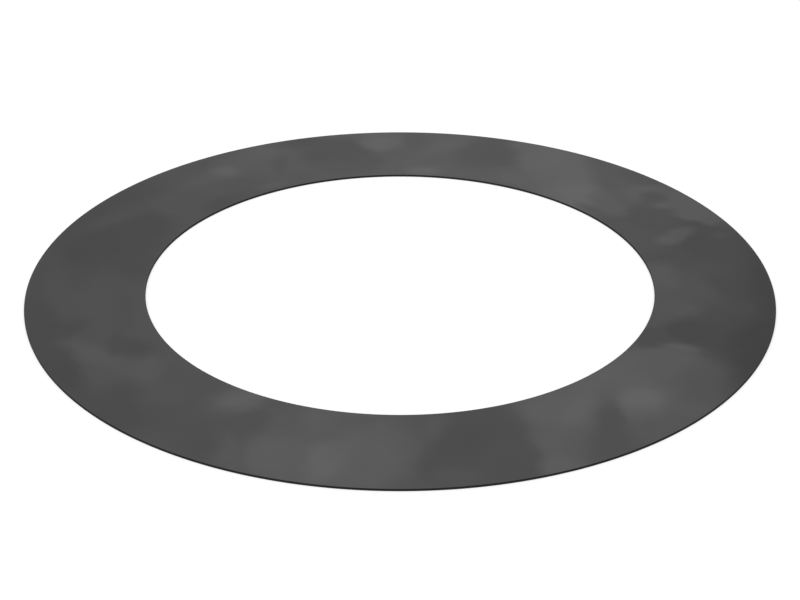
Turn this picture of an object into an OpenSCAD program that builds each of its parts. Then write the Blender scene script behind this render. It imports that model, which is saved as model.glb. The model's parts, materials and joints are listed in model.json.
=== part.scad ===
// Flat steel shim: a thin ring punched from cold-rolled strip and tumbled, so that its edges are just broken.
// It lies on the plane z = 0, with its axis on Z. All sizes are in millimetres.

/* [Ring] */
// Outside diameter, which sits in a housing or under a bearing's outer race
outer_d = 66; // [52:0.5:120]
// Bore, which passes over the shaft
bore_d = 45; // [10:0.5:50]
// Thickness of the strip, the size that a shim is chosen by
thickness = 0.2; // [0.1:0.05:1]

/* [Edges] */
// Radius that tumbling leaves on the punched edges of both faces
edge_r = 0.03; // [0.01:0.005:0.045]

/* [Hidden] */
// Steps in a full turn, of the ring and of a corner's arc
$fn = 144;
edge_steps = 24;
outer_r = outer_d / 2;
bore_r = bore_d / 2;
land_w = outer_r - bore_r;

// Section of the ring, from the bore to the rim, with its four corners rounded to true arcs.
module ring_section() {
    translate([bore_r + edge_r, 0])
        square([land_w - 2 * edge_r, thickness]);
    translate([bore_r, edge_r])
        square([land_w, thickness - 2 * edge_r]);
    for (corner_x = [bore_r + edge_r, outer_r - edge_r], corner_z = [edge_r, thickness - edge_r])
        translate([corner_x, corner_z])
            circle(r = edge_r, $fn = edge_steps);
}

// The whole shim: one solid, turned about Z.
module shim() {
    color("dimgray")
        rotate_extrude()
            ring_section();
}

shim();
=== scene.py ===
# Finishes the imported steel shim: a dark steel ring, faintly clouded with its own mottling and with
# painted reflection, that lies on a pale floor.
import json
import math

import bmesh
import bpy
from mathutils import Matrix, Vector


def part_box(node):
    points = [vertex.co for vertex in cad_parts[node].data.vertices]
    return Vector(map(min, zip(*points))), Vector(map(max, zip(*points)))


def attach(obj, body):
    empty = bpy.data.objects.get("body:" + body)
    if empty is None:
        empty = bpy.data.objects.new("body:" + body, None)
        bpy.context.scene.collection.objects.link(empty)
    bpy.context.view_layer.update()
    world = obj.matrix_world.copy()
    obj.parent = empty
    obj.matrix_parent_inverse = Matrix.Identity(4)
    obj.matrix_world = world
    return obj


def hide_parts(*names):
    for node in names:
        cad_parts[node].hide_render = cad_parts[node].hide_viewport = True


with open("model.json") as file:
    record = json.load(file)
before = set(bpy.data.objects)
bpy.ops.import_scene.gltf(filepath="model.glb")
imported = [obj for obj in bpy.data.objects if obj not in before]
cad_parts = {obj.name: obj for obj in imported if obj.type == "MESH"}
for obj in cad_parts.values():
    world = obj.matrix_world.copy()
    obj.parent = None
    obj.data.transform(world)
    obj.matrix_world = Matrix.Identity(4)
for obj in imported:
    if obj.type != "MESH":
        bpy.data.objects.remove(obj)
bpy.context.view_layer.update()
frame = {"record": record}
millimetre = 0.001
scene = bpy.context.scene
mountSizes = {mount["name"]: mount["dims"] for mount in frame["record"]["mounts"]}


class Wire:
    # One output of a shader node. Sums, differences and products of wires add Math nodes.
    def __init__(self, tree, output=None):
        self.tree = tree
        self.output = output

    def node(self, kind, inputs=None, output=0, stops=(), **settings):
        made = self.tree.nodes.new(kind)
        for name, value in settings.items():
            setattr(made, name, value)
        for i, (position, colour) in enumerate(stops):  # of a ramp, which is made with two
            elements = made.color_ramp.elements
            element = elements[i] if i < len(elements) else elements.new(position)
            element.position = position
            element.color = colour
        for name, value in (inputs or {}).items():
            if isinstance(value, Wire):
                self.tree.links.new(value.output, made.inputs[name])
            else:
                made.inputs[name].default_value = value
        return Wire(self.tree, made.outputs[output] if made.outputs else None)

    def maths(self, operation, first, second):
        return self.node("ShaderNodeMath", {0: first, 1: second}, operation=operation)

    def __add__(self, other):
        return self.maths("ADD", self, other)

    def __radd__(self, other):
        return self.maths("ADD", other, self)

    def __sub__(self, other):
        return self.maths("SUBTRACT", self, other)

    def __rsub__(self, other):
        return self.maths("SUBTRACT", other, self)

    def __mul__(self, other):
        return self.maths("MULTIPLY", self, other)

    def __rmul__(self, other):
        return self.maths("MULTIPLY", other, self)


def newMaterial(name):
    material = bpy.data.materials.new(name)
    material.use_nodes = True
    material.node_tree.nodes.clear()
    return material, Wire(material.node_tree)


def plainColour(value):
    return (value, value, value, 1)


def linearGrey(level):
    # A picture's grey level, from 0 to 255, as the shader's own linear value
    share = level / 255
    return share / 12.92 if share <= 0.04045 else ((share + 0.055) / 1.055) ** 2.4


# Camera, at the photograph's angle. It looks at a point on the floor in front of the ring's centre.
photoCamera = {
    "lens": 89.42,  # mm
    "sensorWidth": 36,  # mm
    "aimAhead": 3.11,  # mm from the ring's axis towards the camera
    "distance": 174.1,  # mm from the aim
    "lookDown": 28.45,  # degrees below the horizon
    "clip": (0.01, 50),  # metres
}


def addCamera(settings):
    data = bpy.data.cameras.new("photoCamera")
    data.lens = settings["lens"]
    data.sensor_width = settings["sensorWidth"]
    data.clip_start, data.clip_end = settings["clip"]
    down = math.radians(settings["lookDown"])
    aim = Vector((0, -settings["aimAhead"], 0))
    back = Vector((0, -math.cos(down), math.sin(down)))  # from the aim to the camera
    camera = bpy.data.objects.new("photoCamera", data)
    camera.location = (aim + back * settings["distance"]) * millimetre
    camera.rotation_euler = (math.pi / 2 - down, 0, 0)
    scene.collection.objects.link(camera)
    scene.camera = camera


addCamera(photoCamera)
print("camera placed")


# Ring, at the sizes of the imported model
ring = {
    "outerRadius": mountSizes["rim"]["r_mm"],
    "boreRadius": mountSizes["bore"]["r_mm"],
    "wallHeight": mountSizes["bore"]["length_mm"],  # the straight wall between the rounded edges
    "steps": 480,  # round the ring
    "edgeSegments": 6,  # across each rounded edge
    "flatNormal": 0.9999,  # the upright part of a normal, above which its face is on a flat side
    "surfaces": ("upperFace", "lowerFace", "punchedWallWithShade"),  # the ring's materials, in their order
}


def addSection(mesh, settings):
    # The ring's section, a thin upright rectangle, with its four corners bevelled to arcs
    low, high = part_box("shim")
    thickness = high.z - low.z
    edgeRadius = (thickness - settings["wallHeight"] * millimetre) / 2
    inner = settings["boreRadius"] * millimetre
    outer = settings["outerRadius"] * millimetre
    places = ((outer, thickness), (inner, thickness), (inner, 0), (outer, 0))
    corners = [mesh.verts.new((x, 0, z)) for x, z in places]
    for i, corner in enumerate(corners):
        mesh.edges.new((corners[i - 1], corner))
    bmesh.ops.bevel(
        mesh, geom=corners, offset=edgeRadius, offset_type="OFFSET", affect="VERTICES",
        segments=settings["edgeSegments"], profile=0.5, material=-1,
    )


def sortFaces(mesh):
    # Spin leaves the faces in another order in each run. No two faces start with the same side,
    # so that side gives each face its place.
    mesh.verts.index_update()
    count = len(mesh.verts)
    mesh.faces.sort(key=lambda face: face.verts[0].index * count + face.verts[1].index)


def surfaceOf(face, flatNormal):
    if abs(face.normal.z) <= flatNormal:
        return "punchedWallWithShade"  # and the rounded edges
    return "upperFace" if face.normal.z > 0 else "lowerFace"


def buildRing(settings):
    mesh = bmesh.new()
    addSection(mesh, settings)
    bmesh.ops.spin(
        mesh, geom=mesh.verts[:] + mesh.edges[:], cent=(0, 0, 0), axis=(0, 0, 1),
        angle=2 * math.pi, steps=settings["steps"], use_merge=True,
    )
    bmesh.ops.recalc_face_normals(mesh, faces=mesh.faces)
    mesh.normal_update()
    sortFaces(mesh)
    for face in mesh.faces:
        surface = surfaceOf(face, settings["flatNormal"])
        face.smooth = surface == "punchedWallWithShade"
        face.material_index = settings["surfaces"].index(surface)
    data = bpy.data.meshes.new("shimRing")
    mesh.to_mesh(data)
    mesh.free()
    made = bpy.data.objects.new("shimRing", data)
    scene.collection.objects.link(made)
    return made


shimRing = buildRing(ring)
print("ring built:", len(shimRing.data.polygons), "faces")


# Strip steel. Lengths are in mm, waves are counted to a millimetre, and grey levels go from 0 to 255.
# Clouds of tone are painted over one another in three groups, from broad fields to small flecks,
# and a noise bends the outlines of each group. They are partly the steel's own mottling and partly
# painted reflection and sheen, with the far side painted lighter, as a glancing reflection would make
# it.
stripSteel = {
    "baseLevel": 82,
    "stops": (60, 82.5, 105),  # grey levels of the ramp that gives the colour
    "gain": 1.02,  # makes up for what the glancing tint takes
    "edgeTint": 0.62,  # keeps the glancing reflection from going pale
    "roughness": 0.42,
    "undersideTurn": 140,  # degrees, so that the two sides don't show the same clouds
    "mottle": {"waves": 0.3, "level": 2.0},  # a faint unevenness over the clouds
    "grain": {  # left by the rolls
        "across": 20.0,
        "along": 0.4,
        "level": 2.0,
        "roughness": 0.08,
        "height": 0.0008,
    },
    # A cloud: x, y, half width, half height, turn in degrees, fade of its outline, and its grey level.
    # Each list goes clockwise round the four sides of the ring, as seen from above.
    # The grey levels hold painted reflection and sheen as well as the steel's own mottling
    "fields": {
        "bend": 0.25,
        "bendWaves": 0.2,
        "clouds": (
            # far side
            (-1, 27.5, 11, 9, 0, 5.2, 90.3),
            (15.8, 23, 3.9, 10.5, 7, 1.4, 97),
            # right
            (22.6, 19.5, 2.8, 7, 15, 1.5, 87.4),
            (24, 12.5, 5.5, 4.5, 0, 2.6, 82.5),
            (29, 3, 4.5, 10, 5, 2.5, 74),
            (24, -2.5, 2.6, 7, 3, 2, 82.5),
            (28.3, -9.5, 3.6, 8, -25, 2.6, 72.5),
            (20, -18.2, 6, 6.2, 0, 2.1, 88),
            # near side
            (12.3, -24.5, 3.5, 7, 0, 1.4, 89.7),
            (5.8, -27, 4.3, 7, 0, 1.2, 78.3),
            (8.3, -29, 2.7, 3.2, 0, 0.9, 78.3),
            (-5.2, -27.6, 6.8, 6.8, 0, 1.8, 88.8),
            (-15.5, -24.5, 3.6, 5, 0, 2, 80),
            # left
            (-21.5, -20, 5, 5, 0, 2.6, 78),
            (-22.8, -15, 3.6, 3.2, -30, 1.6, 82.5),
            (-27.5, -4.5, 3.8, 7.5, 0, 2.6, 79),
            (-27, 7, 5, 7, 0, 2.6, 73),
            # far side, on the left
            (-14.5, 25.5, 4, 4, 45, 2, 88.7),
            (-20, 20.2, 4, 2.3, 45, 1.8, 83.8),
        ),
    },
    "patches": {
        "bend": 0.25,
        "bendWaves": 0.5,
        "clouds": (
            # far side
            (5.8, 30.7, 3, 1.8, -20, 1, 92.5),
            (1.2, 31.2, 1.3, 1.9, 0, 0.5, 87.5),
            (9, 28.1, 2.9, 3.4, -12, 1.2, 84.8),
            (12.8, 29.8, 1.6, 1.6, 0, 0.9, 95.5),
            (7.8, 22.3, 4.5, 1.3, -18, 1, 90.5),
            (3, 23.8, 2.8, 1.7, -10, 1.2, 92.8),
            (11.3, 21.7, 1.5, 2.5, 30, 1.1, 94.3),
            (14.7, 26.3, 2, 2.8, 10, 1.3, 99),
            (17.4, 17.8, 2.1, 3.2, 10, 1.1, 101.5),
            # right
            (24, 22, 2, 1.4, -45, 1, 82.5),
            (20.4, 14.8, 1.4, 1.7, 0, 0.9, 90.5),
            (19.7, 16.8, 1.5, 2, 0, 1, 91.5),
            (18.2, 14.7, 0.6, 1.5, 38, 0.6, 85.5),
            (27.9, 15.7, 2, 3.8, 25, 0.9, 90),
            (23.7, 12.6, 2.1, 2.5, 0, 0.8, 80.5),
            (22.6, 18.1, 0.9, 1.8, -12, 0.8, 91),
            (28.3, 8.2, 2.1, 3.8, 5, 0.8, 73),
            (24, 4.8, 1.9, 1, 0, 0.8, 77.5),
            (26.9, 2.4, 2.4, 1.5, 0, 1.2, 78),
            (23.5, 1.1, 1.6, 2.3, 0, 0.9, 87),
            (26.4, -1, 1.1, 2.8, 25, 1, 82),
            (30.2, -1.5, 1.6, 2.6, 0, 1.3, 72),
            (32.5, -1, 1.4, 9, 0, 1.4, 66.5),
            (24.4, -4.9, 1.6, 1.1, -15, 0.8, 85.3),
            (27.3, -12, 1.6, 3, -15, 1.2, 70.5),
            (24.8, -9, 2.6, 2, 15, 0.9, 70.5),
            (21.3, -10.2, 1.7, 1.9, 20, 0.7, 76),
            (30, -11.7, 2.1, 7.2, -24, 1.3, 64.5),
            (22.2, -14.6, 3.6, 2.5, -15, 0.8, 89),
            (24.8, -17.2, 1.8, 3.4, -25, 1.4, 83),
            # near side
            (15.8, -17.4, 1.3, 5, -43, 1, 93),
            (19.3, -19.8, 2.1, 3.6, 0, 1.1, 93),
            (19.2, -20, 1.5, 1.6, 0, 0.9, 99.5),
            (20.8, -24.2, 3.2, 1.9, 42, 1.2, 86),
            (12.5, -21.8, 2.4, 2, 0, 1.2, 92.5),
            (13.8, -28, 1.2, 2.3, -10, 1, 86.7),
            (16.6, -23.5, 0.9, 2.5, -3, 0.6, 79.8),
            (16.1, -26.9, 1.5, 3, -10, 1, 79.3),
            (14.2, -21.7, 0.9, 2.5, -25, 0.8, 96),
            (12.2, -29.9, 1.4, 1.2, 0, 0.9, 92),
            (5, -26.2, 1.9, 3.7, -14, 1.2, 76.3),
            (2.7, -24, 0.9, 1.9, -18, 0.8, 85),
            (2.8, -29.5, 1.2, 2.2, -20, 0.8, 78),
            (4.2, -31.4, 1.8, 1.2, 0, 0.8, 82),
            (-2.6, -28.6, 2.3, 4.3, 0, 1.1, 91.3),
            (-5.9, -29.3, 1.5, 2.5, -8, 1, 98),
            (-9.4, -28.4, 2.3, 2.6, 0, 1.3, 92),
            (-13.2, -28, 1, 3, 8, 0.9, 86.5),
            (-3.2, -23.3, 1.7, 0.9, 0, 0.7, 86.3),
            (-9.2, -23.4, 1.9, 2, 0, 1.2, 86.2),
            (-6.7, -23.2, 0.9, 1.4, 0, 0.8, 90.5),
            (-12, -23.6, 1.5, 1.7, 0, 1, 80.5),
            (-12.9, -20.1, 2.6, 1.9, 27, 1.1, 89.5),
            (-12.7, -20.1, 1.5, 0.9, 27, 0.7, 94),
            (-15.6, -26.8, 1.2, 2, 0, 1.2, 77.3),
            (-18.8, -18.9, 2.2, 1.9, 0, 1.2, 82),
            # left
            (-22.8, -22.2, 3, 1.8, -42, 1.1, 74),
            (-22.4, -19, 1.4, 2, -20, 1, 76),
            (-28.2, -15, 1.5, 5, 25, 0.9, 70.5),
            (-30.9, -8.6, 1.8, 6.5, 15, 1.1, 72),
            (-32.4, 0.8, 1, 3.5, 0, 1, 75),
            (-26.3, -3, 1.3, 4.5, 0, 1.3, 81),
            (-23.8, -5, 0.9, 3.8, 5, 0.8, 78.5),
            (-29.5, -10.9, 1.4, 3.2, 22, 0.9, 73),
            (-25, -13.3, 3.8, 1.1, -38, 0.8, 85.7),
            (-20.8, -15.6, 1.3, 2.1, 0, 0.9, 86),
            (-22.5, -11.7, 2.2, 1.4, -15, 0.8, 75.8),
            (-28.3, 7.2, 2.1, 3.2, 0, 1.2, 71.5),
            (-23.9, 2.8, 1.6, 2.4, 0, 1.3, 75),
            (-24, 11.2, 2.6, 2.6, 20, 1.3, 73.5),
            (-26, 17.3, 2.2, 4.6, -38, 1.4, 77.3),
            (-29.5, 13.5, 1.8, 8, -24, 1.2, 73.5),
            (-27, 12.5, 3, 0.9, 40, 0.9, 79.5),
            (-17.3, 15.9, 1, 1.8, -43, 0.8, 77),
            # far side, on the left
            (-16.8, 20.2, 3.2, 1.8, 40, 1.3, 84),
            (-12.3, 20.2, 1.9, 0.8, 32, 0.8, 90),
            (-19.6, 21.3, 1.9, 1, 45, 1, 87),
            (-17.3, 23.2, 1.6, 1.6, 0, 1.2, 92),
            (-13.5, 28, 2.4, 1.6, 25, 1, 90.5),
            (-12, 24.9, 0.7, 1.9, 0, 0.7, 84),
            (-6.4, 27.6, 3.6, 3.9, 15, 1, 83),
            (-9.8, 30.6, 2.2, 1.3, 18, 0.8, 81.5),
            (-3, 25.6, 1.3, 1.8, 0, 0.8, 85),
            (-6.2, 23.9, 2.8, 1.8, 0, 1.1, 86.5),
        ),
    },
    "flecks": {
        "bend": 0.08,
        "bendWaves": 1.0,
        "clouds": (
            # far side
            (-1.9, 30.9, 2.2, 2.5, 0, 0.8, 96),
            (-2, 30.1, 1.5, 1.6, 0, 0.8, 99.5),
            (2.2, 23.4, 1.5, 0.9, 0, 0.7, 101.5),
            (4.4, 29.2, 2.7, 1.1, 42, 0.8, 94),
            # right
            (24.6, 17.5, 1.1, 0.6, -20, 0.5, 82),
            (23.7, 19.2, 2.1, 0.6, 10, 0.5, 92.5),
            (25.2, 15.5, 0.9, 0.6, 0, 0.5, 92),
            (27.7, 13.4, 1.8, 1.1, -17, 0.5, 90),
            (29.2, 12.2, 0.8, 0.9, 20, 0.5, 87.5),
            (29.7, 9.2, 0.8, 0.7, 0, 0.5, 78),
            (25.7, 9.3, 2.1, 1, 44, 0.6, 88),
            (24.9, 8.1, 1.1, 0.8, 20, 0.6, 90),
            (23.6, -11.9, 1.6, 0.6, -18, 0.5, 91),
            # near side
            (-4.5, -27.3, 0.7, 1.6, -40, 0.6, 94),
            # left
            (-23.9, -10.7, 0.5, 1.7, 0, 0.5, 75.5),
            (-28.2, -8.6, 1.9, 1.1, 45, 0.7, 73.5),
            # far side, on the left
            (-17.3, 23.4, 1, 1, 0, 0.7, 96),
        ),
    },
}


def noise(wire, place, waves=1.0, detail=2.0, output=0):
    return wire.node("ShaderNodeTexNoise", {"Vector": place, "Scale": waves, "Detail": detail}, output)


def swing(pattern, amount):
    # A noise lies about a half, and this turns it into at most the amount up or down
    return (pattern - 0.5) * (2 * amount)


def stretch(wire, place, factors):
    return wire.node("ShaderNodeVectorMath", {0: place, 1: factors}, operation="MULTIPLY")


def bendPlace(wire, place, bend, waves):
    pattern = noise(wire, place, waves, detail=1.0, output="Color")
    middle = (0.5, 0.5, 0.5)
    centred = wire.node("ShaderNodeVectorMath", {0: pattern, 1: middle}, operation="SUBTRACT")
    reach = 4 * bend  # most of the noise is within a quarter of its middle
    shift = stretch(wire, centred, (reach, reach, 0))
    return wire.node("ShaderNodeVectorMath", {0: place, 1: shift}, operation="ADD")


# Paints the clouds into the colour: the steel's own mottling together with painted reflection and
# sheen
def paintClouds(wire, place, level, group):
    bent = bendPlace(wire, place, group["bend"], group["bendWaves"])
    for x, y, halfWidth, halfHeight, turn, fade, cloudLevel in group["clouds"]:
        spread = fade / min(halfWidth, halfHeight)
        reach = 1 + spread  # where the fading ends, as a share of the half width
        local = wire.node(
            "ShaderNodeMapping",
            {
                "Vector": bent,
                "Location": (x, y, 0),
                "Rotation": (0, 0, math.radians(turn)),
                "Scale": (halfWidth * reach, halfHeight * reach, 1),
            },
            vector_type="TEXTURE",
        )
        depth = wire.node("ShaderNodeTexGradient", {"Vector": local}, "Fac", gradient_type="SPHERICAL")
        mask = wire.node(  # a half at the cloud's outline
            "ShaderNodeMapRange", {"Value": depth, "From Max": 2 * spread / reach},
            interpolation_type="SMOOTHSTEP",
        )
        level = wire.node("ShaderNodeMix", {0: mask, 2: level, 3: cloudLevel})
    return level


def levelColour(wire, level, stops, gain=1):
    # The colour of a grey level, from a ramp between the darkest and the lightest stop
    darkest = stops[0]
    span = stops[-1] - darkest
    ramp = [((stop - darkest) / span, plainColour(linearGrey(stop) * gain)) for stop in stops]
    share = (level - darkest) * (1 / span)
    return wire.node("ShaderNodeValToRGB", {"Fac": share}, stops=ramp)


def finishSteel(wire, colour, roughness, edgeTint, bump):
    steel = wire.node(
        "ShaderNodeBsdfPrincipled",
        {
            "Base Color": colour,
            "Metallic": 1.0,
            "Roughness": roughness,
            "Specular Tint": plainColour(edgeTint),
            "Normal": bump,
        },
    )
    wire.node("ShaderNodeOutputMaterial", {"Surface": steel})


def steelMaterial(name, settings, turn):
    material, wire = newMaterial(name)
    metres = wire.node("ShaderNodeTexCoord", output="Object")
    scale = 1 / millimetre
    place = wire.node(  # in mm, turned about the ring's axis, with the height left out
        "ShaderNodeMapping",
        {"Vector": metres, "Rotation": (0, 0, math.radians(turn)), "Scale": (scale, scale, 0)},
    )
    level = settings["baseLevel"]
    for group in ("fields", "patches", "flecks"):
        level = paintClouds(wire, place, level, settings[group])
    mottle = settings["mottle"]
    level = level + swing(noise(wire, place, mottle["waves"], detail=3.0), mottle["level"])
    grain = settings["grain"]
    lines = noise(wire, stretch(wire, place, (grain["along"], grain["across"], 0)))
    level = level + swing(lines, grain["level"])
    finishSteel(
        wire,
        levelColour(wire, level, settings["stops"], settings["gain"]),
        settings["roughness"] + swing(lines, grain["roughness"]),
        settings["edgeTint"],
        wire.node("ShaderNodeBump", {"Height": lines, "Distance": grain["height"] * millimetre}),
    )
    return material


# Punched wall, counted as the strip steel is. Its colour is kept dark with painted shade, for the
# upright wall that the light reaches less. It has a band sheared smooth, with upright score lines, and
# above it a torn band with a coarse grain.
punchedWallWithShade = {
    # The ramp's dark grey levels stand for painted shade on the upright wall
    "stops": (20, 60),  # grey levels of the ramp that gives the colour
    "edgeTint": 0.6,
    "tornFrom": 0.12,  # mm above the lower side, where the torn band begins
    "tornTo": 0.14,  # and where the last of the sheared band ends
    "wander": {"waves": 2.5, "amount": 0.03},  # of the line between the bands, up and down
    # The levels of both bands are dark with painted shade, and the bands differ in their own grain and
    # roughness
    "sheared": {"level": 40, "roughness": 0.38},
    "torn": {"level": 38, "roughness": 0.65},
    "scoring": {"across": 30.0, "along": 1.5, "level": 9.0, "height": 0.001},
    "grain": {"waves": 35.0, "level": 10.0, "height": 0.003},
}


def wallMaterial(name, settings):
    material, wire = newMaterial(name)
    metres = wire.node("ShaderNodeTexCoord", output="Object")
    scale = 1 / millimetre
    place = stretch(wire, metres, (scale, scale, scale))
    upward = wire.node("ShaderNodeSeparateXYZ", {"Vector": place}, "Z")
    wander = settings["wander"]
    drift = noise(wire, place, wander["waves"], detail=1.0)
    torn = wire.node(
        "ShaderNodeMapRange",
        {
            "Value": upward + swing(drift, wander["amount"]),
            "From Min": settings["tornFrom"],
            "From Max": settings["tornTo"],
        },
        interpolation_type="SMOOTHSTEP",
    )
    sheared = 1 - torn
    scoring = settings["scoring"]
    upright = stretch(wire, place, (scoring["across"], scoring["across"], scoring["along"]))
    lines = noise(wire, upright)
    grain = settings["grain"]
    grains = noise(wire, place, grain["waves"])
    below = settings["sheared"]
    above = settings["torn"]
    level = sheared * below["level"] + torn * above["level"]
    level = level + sheared * swing(lines, scoring["level"]) + torn * swing(grains, grain["level"])
    height = sheared * lines * scoring["height"] + torn * grains * grain["height"]
    finishSteel(
        wire,
        levelColour(wire, level, settings["stops"]),
        sheared * below["roughness"] + torn * above["roughness"],
        settings["edgeTint"],
        wire.node("ShaderNodeBump", {"Height": height, "Distance": millimetre}),
    )
    return material


materials = {
    "upperFace": steelMaterial("upperFace", stripSteel, 0),
    "lowerFace": steelMaterial("lowerFace", stripSteel, stripSteel["undersideTurn"]),
    "punchedWallWithShade": wallMaterial("punchedWallWithShade", punchedWallWithShade),
}
for surface in ring["surfaces"]:
    shimRing.data.materials.append(materials[surface])
print("steel laid on")

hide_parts("shim")
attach(shimRing, "root")


# Pale floor and plain soft light, in metres and watts
studio = {
    "floorSize": 0.8,
    "floorDrop": 0.000002,  # under the ring, so that the two never share a plane
    "floorWhite": 0.9,
    "backdropShare": 0.6,  # how much of the floor is plain backdrop; the rest takes light and shadow
    "backdropStrength": 1.0,
    "worldStrength": 1.0,
    "lampSize": 1.2,
    "lampPlace": (-0.7, -0.5, 1.5),
    "lampPower": 8.0,
}


def floorMaterial(settings):
    material, wire = newMaterial("paleFloor")
    paint = wire.node("ShaderNodeBsdfDiffuse", {"Color": plainColour(settings["floorWhite"])})
    glow = wire.node(
        "ShaderNodeEmission", {"Color": plainColour(1), "Strength": settings["backdropStrength"]},
    )
    seenStraight = wire.node("ShaderNodeLightPath", output="Is Camera Ray")
    seenInMetal = wire.node("ShaderNodeLightPath", output="Is Glossy Ray")
    seenThrough = wire.node("ShaderNodeLightPath", output="Is Transmission Ray")
    share = (seenStraight + seenInMetal + seenThrough) * settings["backdropShare"]
    lit = wire.node("ShaderNodeMixShader", {0: share, 1: paint, 2: glow})
    fromBelow = wire.node("ShaderNodeNewGeometry", output="Backfacing")
    clear = wire.node("ShaderNodeBsdfTransparent")  # so that the underside can be seen
    surface = wire.node("ShaderNodeMixShader", {0: fromBelow, 1: lit, 2: clear})
    wire.node("ShaderNodeOutputMaterial", {"Surface": surface})
    return material


def addFloor(settings):
    mesh = bmesh.new()
    bmesh.ops.create_grid(mesh, x_segments=1, y_segments=1, size=settings["floorSize"] / 2)
    bmesh.ops.translate(mesh, vec=(0, 0, -settings["floorDrop"]), verts=mesh.verts)
    data = bpy.data.meshes.new("floor")
    mesh.to_mesh(data)
    mesh.free()
    data.materials.append(floorMaterial(settings))
    floor = bpy.data.objects.new("floor", data)
    scene.collection.objects.link(floor)


def addWorld(settings):
    world = bpy.data.worlds.new("softRoom")
    world.use_nodes = True
    world.node_tree.nodes.clear()
    wire = Wire(world.node_tree)
    sky = wire.node(
        "ShaderNodeBackground", {"Color": plainColour(1), "Strength": settings["worldStrength"]},
    )
    wire.node("ShaderNodeOutputWorld", {"Surface": sky})
    scene.world = world


def addLamp(settings):
    data = bpy.data.lights.new("softLamp", "AREA")
    data.shape = "DISK"
    data.size = settings["lampSize"]
    data.energy = settings["lampPower"]
    lamp = bpy.data.objects.new("softLamp", data)
    lamp.location = settings["lampPlace"]
    lamp.rotation_euler = (-Vector(settings["lampPlace"])).to_track_quat("-Z", "Y").to_euler()
    scene.collection.objects.link(lamp)


addFloor(studio)
addWorld(studio)
addLamp(studio)
scene.view_settings.view_transform = "Standard"
print("studio set")
